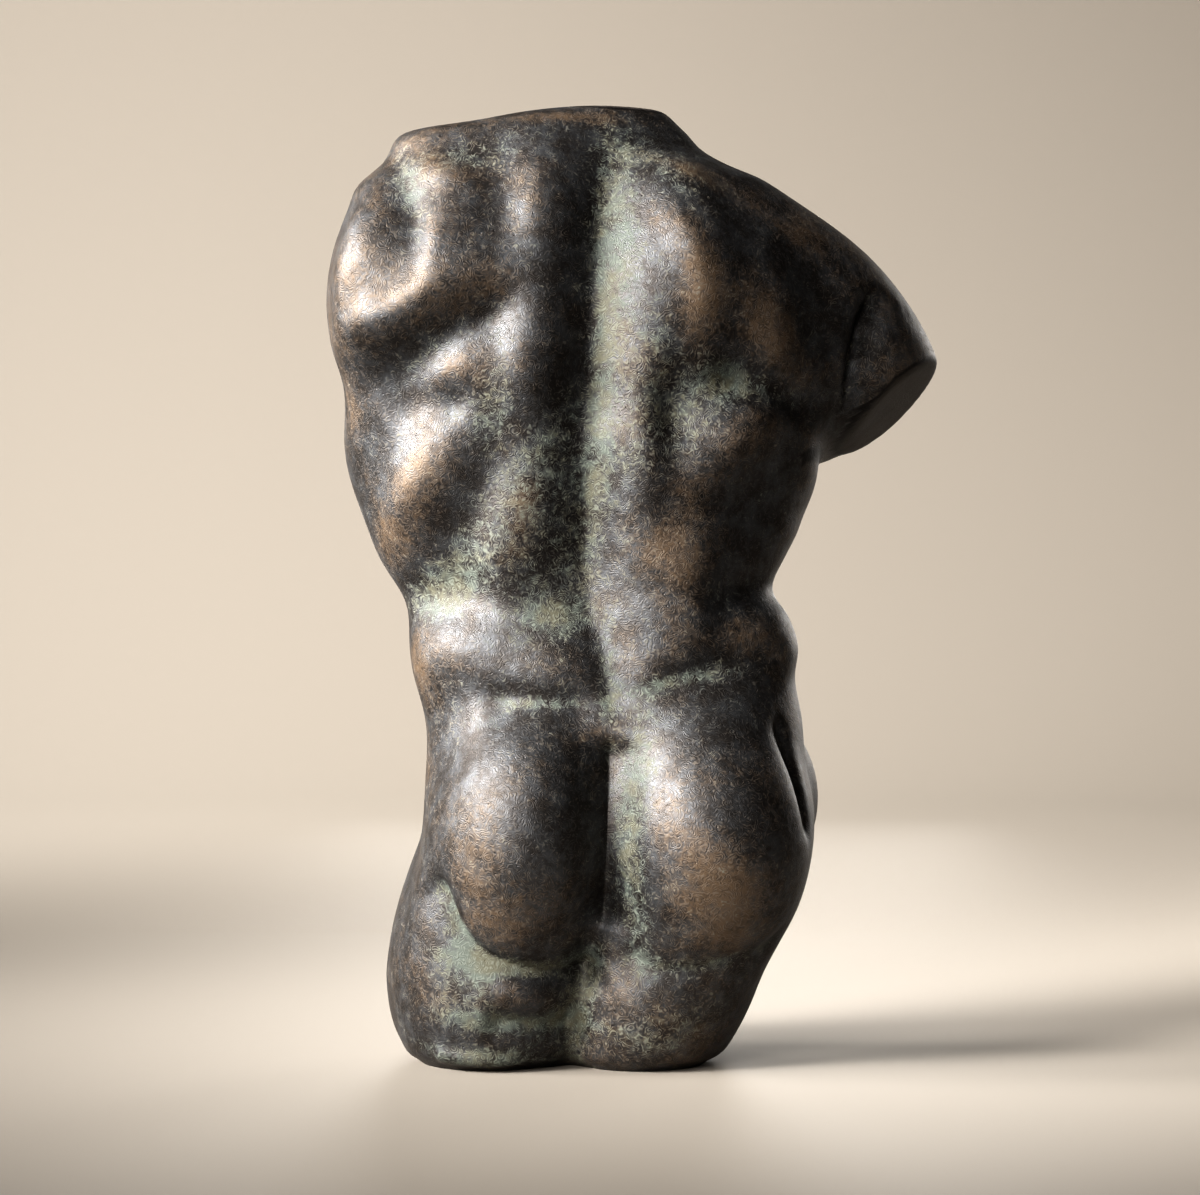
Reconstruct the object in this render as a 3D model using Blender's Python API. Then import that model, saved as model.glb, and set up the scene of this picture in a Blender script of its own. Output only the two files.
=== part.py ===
"""A headless classical male torso, broken off at the neck, both upper arms and the thighs.

The figure is one closed body of fired clay. A lofted core and a few rounded masses are blended
into the pose, flat planes cut the arm stumps, the shoulders and the neck, and muscles, hollows
and creases are laid on that skin. The rings and meridians of a sphere are carried out to it.
Z is up from the flat underside, Y points out of the chest, X out of the figure's right side.
"""
from collections import namedtuple

import bmesh
import bpy
import numpy as np

Cut = namedtuple("Cut", "point facing blend")
Mass = namedtuple("Mass", "centre half lean turn")
Muscle = namedtuple("Muscle", "side across height half_long half_wide lean rise")
Hollow = namedtuple("Hollow", "side across height half_long half_wide lean depth")
Crease = namedtuple("Crease", "side route depth left right sharp fade")

# Sizes are in millimetres, heights are above the underside, and leans are in degrees.
MM = 0.001
NECK_HEIGHT = 605.5
FAN_HEIGHT = 474
BASE_ROUND = 9
SQUARENESS = 2.35
THIGHS_BLEND = 9
SEAT_BLEND = 14
LEFT_ARM_BLEND = 14
RIGHT_ARM_BLEND = 16
SHOULDER_BLEND = 16
THIGH_TOP_BLEND = 10
LOIN_BLEND = 30
HIP_BLEND = 8
CUT_EDGE = 14
CUT_REACH = 60
FALL = 1.2
JOINING = 1.8
RINGS = 64
MERIDIANS = 72
SHARP_ANGLE = 40
UPRIGHT_SHARE = 0.7
CROWDING = 0.35
SKIN_SPREAD = 12
LEAST_SLANT = 0.5
SOFTENING = 1
RAY_STEPS = 90
HALVINGS = 12

# The core's four profiles: (height, reach). Left and right are as seen from behind.
LEFT_OUTLINE = [
    (-16, -74), (4, -93), (18, -107), (49, -113), (74, -110), (102, -104), (126, -97), (149, -88),
    (187, -86.5), (216, -87.5), (244, -91.5), (266, -95), (292, -100.5), (320, -116.5),
    (349, -126.5), (387, -135.5), (425, -138), (454, -146), (482, -149), (511, -145),
    (539, -135), (552, -130), (560, -121), (570, -112), (584, -108), (604, -104)]
RIGHT_OUTLINE = [
    (-16, 68), (4, 80), (18, 94), (49, 116), (92, 145), (121, 151), (159, 154), (187, 150),
    (216, 150), (244, 145), (263, 147), (282, 141), (299, 131), (320, 139.5), (334, 146),
    (349, 150), (377, 161), (414, 168), (454, 171), (494, 171), (520, 166), (539, 150),
    (558, 127), (568, 103), (577, 87), (587, 78), (596, 69), (607, 60)]
BACK_PROFILE = [
    (-16, -28), (4, -32), (34, -38), (79, -48), (134, -58), (184, -70), (219, -78), (244, -76),
    (268, -70), (304, -66), (364, -72), (434, -82), (494, -80), (544, -64), (584, -44),
    (604, -34), (644, -28)]
FRONT_PROFILE = [
    (-16, 60), (4, 66), (44, 72), (94, 72), (144, 66), (204, 62), (264, 62), (324, 70),
    (384, 80), (444, 88), (494, 84), (534, 66), (564, 46), (604, 34), (644, 28)]
# How far the chest is turned against the hips: depth per thousand sideways.
CHEST_TURN = [(-16, 0), (104, 0), (254, 10), (354, 60), (454, 160), (524, 170), (644, 140)]

# The line inside the figure that the rings are centred on.
AXIS_ACROSS = [(4, 5), (104, 20), (254, 22), (354, 12), (474, 20), (604, 20)]
AXIS_DEEP = [(4, 0), (254, 0), (404, 14), (474, 16), (604, 16)]

LEFT_SHOULDER = Mass((-91, -26, 490), (40, 58, 60), 4, 0)
LEFT_ARM = Mass((-104, 34, 500), (44, 62, 47), 0, 0)
RIGHT_ARM = Mass((171, 36, 458), (54, 50, 106), -42, 25)
LEFT_THIGH = Mass((-42, -6, 64), (68, 74, 96), 8, 0)
RIGHT_THIGH = Mass((64, -6, 64), (60, 76, 104), 22, 0)
LEFT_BUTTOCK = Mass((-26, -46, 149), (57, 68, 84), 6, 0)
RIGHT_BUTTOCK = Mass((88, -46, 145), (66, 70, 82), -2, 0)
RIGHT_HIP = Mass((112, 26, 165), (50, 42, 60), 0, 0)

LEFT_ARM_CUT = Cut((-108, 61, 510), (-0.30, 0.88, 0.36), 2)
RIGHT_ARM_CUT = Cut((239, 40, 440), (0.68, -0.265, -0.70), 2)
SHOULDER_CUT = Cut((-50, 0, 596), (-0.158, -0.05, 0.985), 10)
NECK_CUT = Cut((8, 0, NECK_HEIGHT), (0.05, 0, 1), 6)

BACK_MUSCLES = {
    "left shoulder blade": Muscle("back", -64, 514, 60, 27, 20, 9),
    "left blade spine": Muscle("back", -70, 556, 30, 16, -62, 6),
    "left blade belly": Muscle("back", -62, 487, 46, 21, 60, 9),
    "left deltoid": Muscle("back", -113, 508, 58, 25, 3, 10),
    "left teres": Muscle("back", -106, 466, 44, 22, 64, 7),
    "left trapezius": Muscle("back", -10, 538, 60, 32, 4, 9),
    "left upper erector": Muscle("back", -16, 437, 54, 30, 4, 9),
    "left rib strip": Muscle("back", -70, 432, 40, 24, 52, 6),
    "left serratus": Muscle("back", -80, 362, 50, 29, 36, 14),
    "left lumbar": Muscle("back", -27, 338, 62, 28, 14, 12),
    "left flank": Muscle("back", -62, 262, 52, 30, 84, 12),
    "left loin": Muscle("back", -12, 258, 36, 24, 92, 6),
    "left outer thigh": Muscle("back", -86, 95, 55, 25, -4, 5),
    "left inner thigh": Muscle("back", -23, 50, 34, 15, 92, 5),
    "right shoulder blade": Muscle("back", 110, 484, 75, 52, -40, 10),
    "right infraspinatus": Muscle("back", 126, 456, 31, 22, -40, 6),
    "right teres": Muscle("back", 156, 441, 31, 20, -35, 6),
    "right erector": Muscle("back", 46, 382, 85, 21, 2, 12),
    "right lat": Muscle("back", 96, 390, 60, 27, 52, 13),
    "right lumbar": Muscle("back", 64, 308, 62, 38, 8, 13),
    "right flank": Muscle("back", 118, 272, 46, 34, 84, 3)}
FRONT_MUSCLES = {
    "left chest": Muscle("front", -56, 460, 66, 42, -70, 15),
    "right chest": Muscle("front", 88, 456, 66, 42, 70, 15),
    "left upper belly": Muscle("front", -10, 354, 22, 22, 0, 5),
    "right upper belly": Muscle("front", 36, 354, 22, 22, 0, 5),
    "left middle belly": Muscle("front", -10, 310, 21, 23, 0, 6),
    "right middle belly": Muscle("front", 36, 310, 21, 23, 0, 6),
    "left lower belly": Muscle("front", -9, 266, 22, 23, 0, 5),
    "right lower belly": Muscle("front", 36, 266, 22, 23, 0, 5),
    "belly": Muscle("front", 14, 200, 50, 40, 0, 6),
    "left waist": Muscle("front", -66, 262, 46, 26, 12, 9),
    "right waist": Muscle("front", 98, 260, 44, 28, -12, 9),
    "groin": Muscle("front", 14, 126, 26, 30, 0, 7),
    "left thigh front": Muscle("front", -54, 66, 72, 42, 4, 8),
    "right thigh front": Muscle("front", 80, 66, 72, 38, 22, 8),
    "left ribs": Muscle("left", 20, 376, 50, 34, -20, 7),
    "right ribs": Muscle("right", 30, 376, 50, 34, -20, 7)}
HOLLOWS = {
    "shoulder notch": Hollow("back", -93, 537, 28, 13, -14, 5),
    "left valley": Hollow("back", -42, 546, 44, 24, -4, 4),
    "navel": Hollow("front", 14, 236, 14, 12, 0, 4),
    "neck pit": Hollow("front", 17, 560, 16, 14, 0, 5)}
# Routes are (across, height). A negative depth is a ridge.
BACK_CREASES = {
    "spine": Crease("back", [(31, 585), (22, 521), (15, 458), (10, 393), (12, 356), (17, 289),
                             (23, 269), (30, 230), (29, 206)], 6, 24, 15, 1.7, 0.08),
    "upper furrow": Crease("back", [(26, 566), (18, 489), (12, 424), (10, 387)],
                           6, 40, 24, 2.0, 0.2),
    "blade ledge": Crease("back", [(-22, 494), (-38, 479), (-68, 463), (-95, 442), (-124, 420)],
                          8, 22, 13, 2.0, 0.3),
    "left flank fold": Crease("back", [(-56, 228), (-38, 232), (-15, 231), (8, 231), (24, 236)],
                              5, 11, 20, 1.8, 0.25),
    "left waist": Crease("back", [(-98, 303), (-76, 298), (-52, 300), (-30, 307)],
                         3, 20, 18, 2.0, 0.25),
    "left buttock fold": Crease("back", [(-79, 130), (-73, 109), (-65, 89), (-50, 76), (-28, 68),
                                         (-7, 65), (9, 68), (23, 79)], 7, 12, 15, 1.4, 0.2),
    "left thigh crease": Crease("back", [(-52, 36), (-30, 33), (-7, 31), (7, 37)],
                                4, 8, 8, 1.5, 0.15),
    "cleft": Crease("back", [(28, 214), (28, 181), (27, 147), (26, 117), (24, 89)],
                    4, 30, 8, 1.3, 0.15),
    "right buttock fold": Crease("back", [(33, 85), (53, 71), (73, 67), (99, 72), (126, 79),
                                          (140, 97)], 4, 9, 12, 1.5, 0.15),
    "right waist fold": Crease("back", [(42, 241), (76, 247), (110, 257), (142, 255)],
                               4, 12, 16, 1.8, 0.25),
    "right waist crease": Crease("back", [(130, 309), (103, 296), (82, 276)],
                                 1.5, 9, 12, 1.8, 0.3),
    "arm crease": Crease("back", [(182, 486), (180, 461), (175, 431), (166, 394), (161, 377)],
                         7, 7, 14, 1.5, 0.12),
    "hip crease": Crease("back", [(131, 226), (138, 203), (146, 180), (151, 158), (153, 140)],
                         5, 6, 8, 1.5, 0.2),
    "right valley": Crease("back", [(82, 444), (95, 437), (122, 425), (145, 417), (157, 400)],
                           7, 14, 14, 2.0, 0.3),
    "right ridge": Crease("back", [(52, 588), (68, 550), (75, 512), (73, 478), (66, 446), (60, 416)],
                          -11, 26, 30, 2.0, 0.35),
    "right hollow": Crease("back", [(62, 446), (62, 415), (64, 384)], 4, 18, 15, 2.0, 0.4),
    "rib valley": Crease("back", [(-112, 404), (-95, 414), (-72, 418), (-50, 413)],
                         5, 15, 13, 2.0, 0.3)}
FRONT_CREASES = {
    "breastbone": Crease("front", [(17, 549), (16, 504), (15, 454), (14, 409)],
                         4, 12, 12, 1.8, 0.15),
    "belly line": Crease("front", [(14, 389), (14, 334), (14, 294), (14, 249)],
                         4, 11, 11, 1.8, 0.2),
    "left chest edge": Crease("front", [(4, 422), (-20, 408), (-54, 404), (-90, 416),
                                        (-118, 444)], 5, 9, 14, 1.6, 0.15),
    "right chest edge": Crease("front", [(26, 422), (52, 406), (86, 401), (122, 412),
                                         (150, 440)], 5, 14, 9, 1.6, 0.15),
    "left rib arch": Crease("front", [(10, 388), (-26, 370), (-52, 334), (-62, 294)],
                            4, 15, 14, 1.8, 0.2),
    "right rib arch": Crease("front", [(18, 388), (54, 368), (80, 332), (92, 292)],
                             4, 14, 15, 1.8, 0.2),
    "left groin line": Crease("front", [(-86, 216), (-68, 190), (-36, 160), (-8, 140)],
                              6, 14, 15, 1.8, 0.3),
    "right groin line": Crease("front", [(120, 212), (102, 188), (66, 158), (36, 140)],
                               6, 15, 14, 1.8, 0.3),
    "left collarbone": Crease("front", [(0, 552), (-40, 560), (-86, 552)],
                              -4, 9, 7, 2.0, 0.25),
    "right collarbone": Crease("front", [(34, 550), (76, 546), (124, 520)],
                               -4, 7, 9, 2.0, 0.25),
    "between the thighs": Crease("front", [(13, 100), (10, 74), (4, 38), (1, 8)],
                                 6, 16, 17, 1.8, 0.3)}
# Two rib lines on each side: the height at the back end of each, climbing forwards.
RIB_LINES = (322, 356)
RIB_CLIMB = ((14, 0), (38, 10), (62, 26))
RIB_DEPTH = 3

SIDEWAYS = {"back": (1, 0, 0), "front": (1, 0, 0), "left": (0, 1, 0), "right": (0, 1, 0)}
OUTWARDS = {"back": (0, -1, 0), "front": (0, 1, 0), "left": (-1, 0, 0), "right": (1, 0, 0)}
VIEW_REACH = 0.3
RAY_REACH = 0.32


def curve_through(knots, at):
    """A smooth curve through the knots (millimetres), read at these places (metres)."""
    x, y = np.array(knots, float).T * MM
    slope = np.empty_like(y)
    slope[1:-1] = (y[2:] - y[:-2]) / (x[2:] - x[:-2])
    slope[0] = (y[1] - y[0]) / (x[1] - x[0])
    slope[-1] = (y[-1] - y[-2]) / (x[-1] - x[-2])
    left = np.clip(np.searchsorted(x, at) - 1, 0, len(x) - 2)
    step = x[left + 1] - x[left]
    t = np.clip((at - x[left]) / step, 0, 1)
    ease = t * t * (3 - 2 * t)
    level = y[left] + (y[left + 1] - y[left]) * ease
    rising = (t ** 3 - 2 * t ** 2 + t) * step * slope[left]
    falling = (t ** 3 - t ** 2) * step * slope[left + 1]
    return level + rising + falling


def smooth_min(one, other, blend):
    """The smaller of two distances, rounded over where they are about equal."""
    near = np.maximum(blend - np.abs(one - other), 0) / blend
    return np.minimum(one, other) - near * near * blend / 4


def smooth_max(one, other, blend):
    """The larger of two distances, rounded over where they are about equal."""
    return -smooth_min(-one, -other, blend)


def core_distance(p):
    """How far points are outside a loft whose sections are rounded boxes between the profiles."""
    z = p[..., 2]
    left, right = curve_through(LEFT_OUTLINE, z), curve_through(RIGHT_OUTLINE, z)
    back, front = curve_through(BACK_PROFILE, z), curve_through(FRONT_PROFILE, z)
    half_wide, half_deep = (right - left) / 2, (front - back) / 2
    across = p[..., 0] - (left + right) / 2
    deep = p[..., 1] - (back + front) / 2 - curve_through(CHEST_TURN, z) * across
    u, w = np.abs(across) / half_wide, np.abs(deep) / half_deep
    reach = (u ** SQUARENESS + w ** SQUARENESS) ** (1 / SQUARENESS) + 1e-9
    steepness = np.hypot(u ** (SQUARENESS - 1) / half_wide, w ** (SQUARENESS - 1) / half_deep)
    return (reach - 1) / (steepness * reach ** (1 - SQUARENESS) + 1e-3)


def mass_distance(p, mass):
    """How far points are outside an ellipsoid that is turned about Z and leans in its own XZ plane."""
    turn, lean = np.radians(mass.turn), np.radians(mass.lean)
    x, y, z = np.moveaxis(p - np.array(mass.centre) * MM, -1, 0)
    x, y = x * np.cos(turn) + y * np.sin(turn), y * np.cos(turn) - x * np.sin(turn)
    x, z = x * np.cos(lean) - z * np.sin(lean), x * np.sin(lean) + z * np.cos(lean)
    half = np.array(mass.half) * MM
    q = np.stack([x, y, z], -1) / half
    reach = np.linalg.norm(q, axis=-1) + 1e-9
    return reach * (reach - 1) / (np.linalg.norm(q / half, axis=-1) + 1e-6)


def cut_distance(p, cut):
    """How far points are in front of a cutting plane."""
    facing = np.array(cut.facing) / np.linalg.norm(cut.facing)
    return (p - np.array(cut.point) * MM) @ facing


def trimmed(distance, p, cut):
    """A distance with the part in front of a cutting plane taken off."""
    return smooth_max(distance, cut_distance(p, cut), cut.blend * MM)


def body_distance(p):
    """How far points are outside the smooth figure, before its muscles and folds."""
    left_arm = trimmed(mass_distance(p, LEFT_ARM), p, LEFT_ARM_CUT)
    right_arm = trimmed(mass_distance(p, RIGHT_ARM), p, RIGHT_ARM_CUT)
    thighs = smooth_min(mass_distance(p, LEFT_THIGH), mass_distance(p, RIGHT_THIGH), THIGHS_BLEND * MM)
    seat = smooth_min(mass_distance(p, LEFT_BUTTOCK), mass_distance(p, RIGHT_BUTTOCK), SEAT_BLEND * MM)
    figure = smooth_min(core_distance(p), left_arm, LEFT_ARM_BLEND * MM)
    figure = smooth_min(figure, right_arm, RIGHT_ARM_BLEND * MM)
    figure = smooth_min(figure, mass_distance(p, LEFT_SHOULDER), SHOULDER_BLEND * MM)
    figure = smooth_min(figure, thighs, THIGH_TOP_BLEND * MM)
    figure = smooth_min(figure, seat, LOIN_BLEND * MM)
    figure = smooth_min(figure, mass_distance(p, RIGHT_HIP), HIP_BLEND * MM)
    figure = trimmed(figure, p, SHOULDER_CUT)
    figure = trimmed(figure, p, NECK_CUT)
    rounding = BASE_ROUND * MM
    low = np.clip(rounding - p[..., 2], 0, rounding)
    return figure + rounding - np.sqrt(rounding ** 2 - low ** 2)


def bisect(start, direction, inner, outer):
    """Where each ray crosses the skin, between a length inside it and a length outside it."""
    for _ in range(HALVINGS):
        middle = (inner + outer) / 2
        inside = body_distance(start + direction * middle[..., None]) < 0
        inner = np.where(inside, middle, inner)
        outer = np.where(inside, outer, middle)
    return start + direction * ((inner + outer) / 2)[..., None]


def cast_out(start, direction):
    """The last crossing of the skin by rays that start inside the figure."""
    lengths = np.linspace(0, RAY_REACH, RAY_STEPS)
    inside = np.stack([body_distance(start + direction * length) < 0 for length in lengths])
    last = len(lengths) - 1 - np.argmax(inside[::-1], axis=0)
    following = np.minimum(last + 1, len(lengths) - 1)
    return bisect(start, direction, lengths[last], lengths[following])


def touch(side, across, height):
    """The points of the skin seen at these places (millimetres) from one side."""
    outward = np.array(OUTWARDS[side], float)
    across, height = np.atleast_1d(across) * MM, np.atleast_1d(height) * MM
    start = outward * VIEW_REACH + across[:, None] * np.array(SIDEWAYS[side], float)
    start = start + height[:, None] * np.array([0, 0, 1.0])
    inward = np.broadcast_to(-outward, start.shape)
    lengths = np.linspace(0, VIEW_REACH, RAY_STEPS)
    inside = np.stack([body_distance(start + inward * length) < 0 for length in lengths])
    first = np.argmax(inside, axis=0)
    return bisect(start, inward, lengths[first], lengths[np.maximum(first - 1, 0)])


def skin_facing(p, spread):
    """The outward direction of the skin, taken over this distance each way."""
    slopes = [body_distance(p + spread * axis) - body_distance(p - spread * axis) for axis in np.eye(3)]
    facing = np.stack(slopes, -1)
    return facing / np.linalg.norm(facing, axis=-1, keepdims=True)


def local_reach(p, spot):
    """Squared distance from a spot on the skin, in half lengths along it and half widths across it."""
    centre = touch(spot.side, spot.across, spot.height)[0]
    outward = skin_facing(centre, MM)
    upward = np.array([0, 0, 1.0]) - outward * outward[2]
    upward = upward / np.linalg.norm(upward)
    sideways = np.cross(upward, outward)
    sideways = sideways * np.sign(sideways @ np.array(SIDEWAYS[spot.side], float))
    lean = np.radians(spot.lean)
    along = upward * np.cos(lean) + sideways * np.sin(lean)
    aside = sideways * np.cos(lean) - upward * np.sin(lean)
    depth = 1.6 * max(spot.half_long, spot.half_wide)
    q = (p - centre) / MM
    return (q @ along / spot.half_long) ** 2 + (q @ aside / spot.half_wide) ** 2 + (q @ outward / depth) ** 2


def crease_route(crease):
    """The crease's smooth route on the skin, with eight short steps from knot to knot."""
    route = np.array(crease.route, float)
    knot = np.arange(len(route)) / MM
    at = np.linspace(0, len(route) - 1, 8 * (len(route) - 1) + 1)
    across = curve_through(np.stack([knot, route[:, 0]], -1), at) / MM
    height = curve_through(np.stack([knot, route[:, 1]], -1), at) / MM
    return touch(crease.side, across, height)


def crease_depth(p, facing, crease):
    """How deep a crease is under each point: a bell curve of the distance to its route.

    Its two banks have their own widths, left and right of someone walking the route, and it
    fades out over the given share of its length at each end.
    """
    route = crease_route(crease)
    margin = 4 * max(crease.left, crease.right) * MM
    near = ((p > route.min(axis=0) - margin) & (p < route.max(axis=0) + margin)).all(axis=-1)
    depth = np.zeros(p.shape[:-1])
    depth[near] = route_depth(p[near], facing[near], route, crease)
    return depth


def route_depth(p, facing, route, crease):
    """The bell curve itself, for the points that are near enough to matter."""
    steps = np.diff(route, axis=0)
    run = np.concatenate([[0], np.cumsum(np.linalg.norm(steps, axis=-1))])
    nearest = np.full(p.shape[:-1], 9.0)
    along, hand = np.zeros(nearest.shape), np.zeros(nearest.shape)
    for start, step, begun in zip(route, steps, run):
        share = np.clip((p - start) @ step / (step @ step), 0, 1)
        offset = p - start - share[..., None] * step
        distance = np.linalg.norm(offset, axis=-1)
        length = np.linalg.norm(step)
        closer = distance < nearest
        nearest = np.where(closer, distance, nearest)
        along = np.where(closer, begun + share * length, along)
        hand = np.where(closer, (np.cross(step, offset) * facing).sum(-1) / length, hand)
    leftness = np.clip(hand / (nearest + 1e-6), -1, 1) / 2 + 0.5
    width = (crease.right + (crease.left - crease.right) * leftness) * MM
    end = np.clip(np.minimum(along, run[-1] - along) / (crease.fade * run[-1]), 0, 1)
    return crease.depth * MM * np.exp(-(nearest / width) ** crease.sharp) * end * end * (3 - 2 * end)


def rib_creases():
    """The rib lines on both sides, as creases."""
    routes = [[(forward, base + climb) for forward, climb in RIB_CLIMB] for base in RIB_LINES]
    return [Crease(side, route, RIB_DEPTH, 7, 7, 1.8, 0.25) for side in ("left", "right") for route in routes]


def flatness(p):
    """0 on the cut faces, rising to 1 a short way off them, so that the cuts stay flat."""
    keep = np.ones(p.shape[:-1])
    for cut in (LEFT_ARM_CUT, RIGHT_ARM_CUT, NECK_CUT):
        off = np.abs(cut_distance(p, cut)) / (CUT_EDGE * MM)
        away = np.linalg.norm(p - np.array(cut.point) * MM, axis=-1) / (CUT_REACH * MM) * 2 - 2
        share = np.clip(np.maximum(off, away), 0, 1)
        keep = keep * share * share * (3 - 2 * share)
    return keep


def relief(p, facing):
    """How far the muscles, hollows and creases raise the skin at each point."""
    swelling = np.zeros(p.shape[:-1])
    for muscle in [*BACK_MUSCLES.values(), *FRONT_MUSCLES.values()]:
        bulge = muscle.rise * np.exp(-FALL * local_reach(p, muscle))
        swelling = swelling + bulge ** JOINING
    height = swelling ** (1 / JOINING) * MM
    for hollow in HOLLOWS.values():
        height = height - hollow.depth * MM * np.exp(-FALL * local_reach(p, hollow))
    for crease in [*BACK_CREASES.values(), *FRONT_CREASES.values(), *rib_creases()]:
        height = height - crease_depth(p, facing, crease)
    return height * flatness(p)


def blurred(field, times):
    """A field on the grid, averaged with its neighbours this many times; columns wrap round."""
    for _ in range(times):
        rows = np.concatenate([field[:1], field, field[-1:]])
        field = (rows[:-2] + 2 * rows[1:-1] + rows[2:]) / 4
        field = (np.roll(field, 1, axis=1) + 2 * field + np.roll(field, -1, axis=1)) / 4
    return field


def skin_grid(rows, columns):
    """Points of the skin, in level rows up to FAN_HEIGHT and then fanning in to the top.

    From a line inside the figure each ray runs out to the skin, and the relief moves its end
    along the ray.
    """
    v = np.linspace(0, 1, rows)
    height = np.clip(v / UPRIGHT_SHARE, 0, 1) * FAN_HEIGHT * MM
    lift = np.clip((v - UPRIGHT_SHARE) / (1 - UPRIGHT_SHARE), 0, 1) * np.pi / 2
    angle = np.arange(columns) / columns * 2 * np.pi
    angle = angle - CROWDING * np.sin(angle)
    axis = np.stack([curve_through(AXIS_ACROSS, height), curve_through(AXIS_DEEP, height), height], -1)
    start = np.repeat(axis[:, None, :], columns, axis=1)
    level, rise = np.cos(lift)[:, None], np.sin(lift)[:, None]
    direction = np.stack([np.sin(angle) * level, -np.cos(angle) * level, rise + 0 * angle], -1)
    p = blurred(cast_out(start, direction), SOFTENING)
    p[-1] = p[-1].mean(axis=0)
    facing = skin_facing(p, SKIN_SPREAD * MM)
    slant = np.clip((facing * direction).sum(-1), LEAST_SLANT, 1)
    p = p + direction * (relief(p, facing) / slant)[..., None]
    p[0, :, 2] = 0
    p[..., 2] = np.maximum(p[..., 2], 0)
    return p


def lay_on_skin(mesh):
    """Carry a unit sphere's points to the figure: its lowest two rings to the flat underside."""
    rows = skin_grid(RINGS - 1, MERIDIANS)
    centre = rows[0].mean(axis=0)
    for vertex in mesh.verts:
        x, y, z = vertex.co
        ring = round(np.arccos(np.clip(-z, -1, 1)) / np.pi * RINGS)
        meridian = round(np.arctan2(x, -y) / (2 * np.pi) * MERIDIANS) % MERIDIANS
        rim = rows[max(ring - 2, 0), meridian]
        share = min(ring, 2) / 2
        vertex.co = centre + (rim - centre) * share


def make_material():
    """Dark bronze-coloured patina on fired clay."""
    material = bpy.data.materials.new("patinated_terracotta")
    material.use_nodes = True
    shader = material.node_tree.nodes["Principled BSDF"]
    shader.inputs["Base Color"].default_value = (0.075, 0.062, 0.05, 1)
    shader.inputs["Roughness"].default_value = 0.45
    shader.inputs["Metallic"].default_value = 0.6
    return material


def make_torso(collection):
    """The whole figure as one closed mesh."""
    mesh = bpy.data.meshes.new("torso")
    sphere = bmesh.new()
    bmesh.ops.create_uvsphere(sphere, u_segments=MERIDIANS, v_segments=RINGS, radius=1)
    lay_on_skin(sphere)
    bmesh.ops.triangulate(sphere, faces=sphere.faces)
    bmesh.ops.recalc_face_normals(sphere, faces=sphere.faces)
    sphere.to_mesh(mesh)
    sphere.free()
    mesh.shade_smooth()
    mesh.set_sharp_from_angle(angle=np.radians(SHARP_ANGLE))
    mesh.materials.append(make_material())
    torso = bpy.data.objects.new("torso", mesh)
    collection.objects.link(torso)


def main():
    """Empty the scene and build the torso in its own collection."""
    for old in list(bpy.data.objects):
        bpy.data.objects.remove(old, do_unlink=True)
    collection = bpy.data.collections.new("terracotta_torso")
    bpy.context.scene.collection.children.link(collection)
    make_torso(collection)


main()
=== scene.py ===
"""The dressed torso: a fine skin with a bronze-coloured, weathered patina on fired clay.

The figure is a surface over a grid of rings and meridians. A lofted core and rounded masses are
blended into the pose, flat planes cut the stumps and the neck, and muscles, hollows and creases
are laid on that skin. What the skin does at each point, such as how hollow it is, is kept as
attributes, and the patina is painted from them. Z is up, Y points out of the chest.
"""
from collections import namedtuple

import bpy
import numpy as np
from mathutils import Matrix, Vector


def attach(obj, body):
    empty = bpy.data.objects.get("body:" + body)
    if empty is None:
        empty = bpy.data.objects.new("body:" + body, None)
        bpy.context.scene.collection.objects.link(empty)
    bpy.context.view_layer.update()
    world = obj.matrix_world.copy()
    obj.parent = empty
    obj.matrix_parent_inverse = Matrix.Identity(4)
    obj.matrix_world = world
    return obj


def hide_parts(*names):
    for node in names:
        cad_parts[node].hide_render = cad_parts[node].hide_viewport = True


Cut = namedtuple("Cut", "point facing blend")
Mass = namedtuple("Mass", "centre half lean turn")
Muscle = namedtuple("Muscle", "side across height half_long half_wide lean rise")
Hollow = namedtuple("Hollow", "side across height half_long half_wide lean depth")
Crease = namedtuple("Crease", "side route depth left right sharp fade")
Patch = namedtuple("Patch", "side across height half_long half_wide lean amount")
Light = namedtuple("Light", "place target size watts spread")

# Sizes are in millimetres, heights are above the underside, and leans are in degrees.
MM = 0.001
NECK_HEIGHT = 605.5
BASE_ROUND = 9
# The core's sections: 2 would make them ellipses, and more makes them boxier.
SQUARENESS = 2.35
# How softly each mass runs into what it joins.
THIGHS_BLEND = 9
SEAT_BLEND = 34
LEFT_ARM_BLEND = 24
RIGHT_ARM_BLEND = 16
SHOULDER_BLEND = 16
THIGH_TOP_BLEND = 10
LOIN_BLEND = 30
HIP_BLEND = 8
# The relief fades out over the last stretch up to a cut's plane, within reach of its point.
CUT_EDGE = 14
CUT_REACH = 60
# Skin counts as broken this near to the plane, where it faces nearly as the cut does, and
# within this many reaches of the point.
CUT_SKIN = 1.5
CUT_FACING = (0.7, 0.9)
CUT_SPAN = 1.5
# How fast a bell curve falls, and how clearly two muscles that overlap stay apart.
FALL = 1.2
JOINING = 1.8
# A muscle's reach through the body, as a share of the larger half of it.
THROUGH_SHARE = 1.6
# A crease's route has this many steps from knot to knot, and it acts within this many widths.
ROUTE_STEPS = 8
ROUTE_MARGIN = 4
# The grid: its rows are level up to the fan, and its columns crowd towards the back.
ROWS = 262
COLUMNS = 374
FAN_HEIGHT = 474
UPRIGHT_SHARE = 0.7
CROWDING = 0.35
SOFTENING = 2
SKIN_SPREAD = 12
LEAST_SLANT = 0.5
SHARP_ANGLE = 40
# Rays, in metres, and how finely they look for the skin.
VIEW_REACH = 0.3
RAY_REACH = 0.32
RAY_STEPS = 90
HALVINGS = 12
FAR = 9.0

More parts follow.
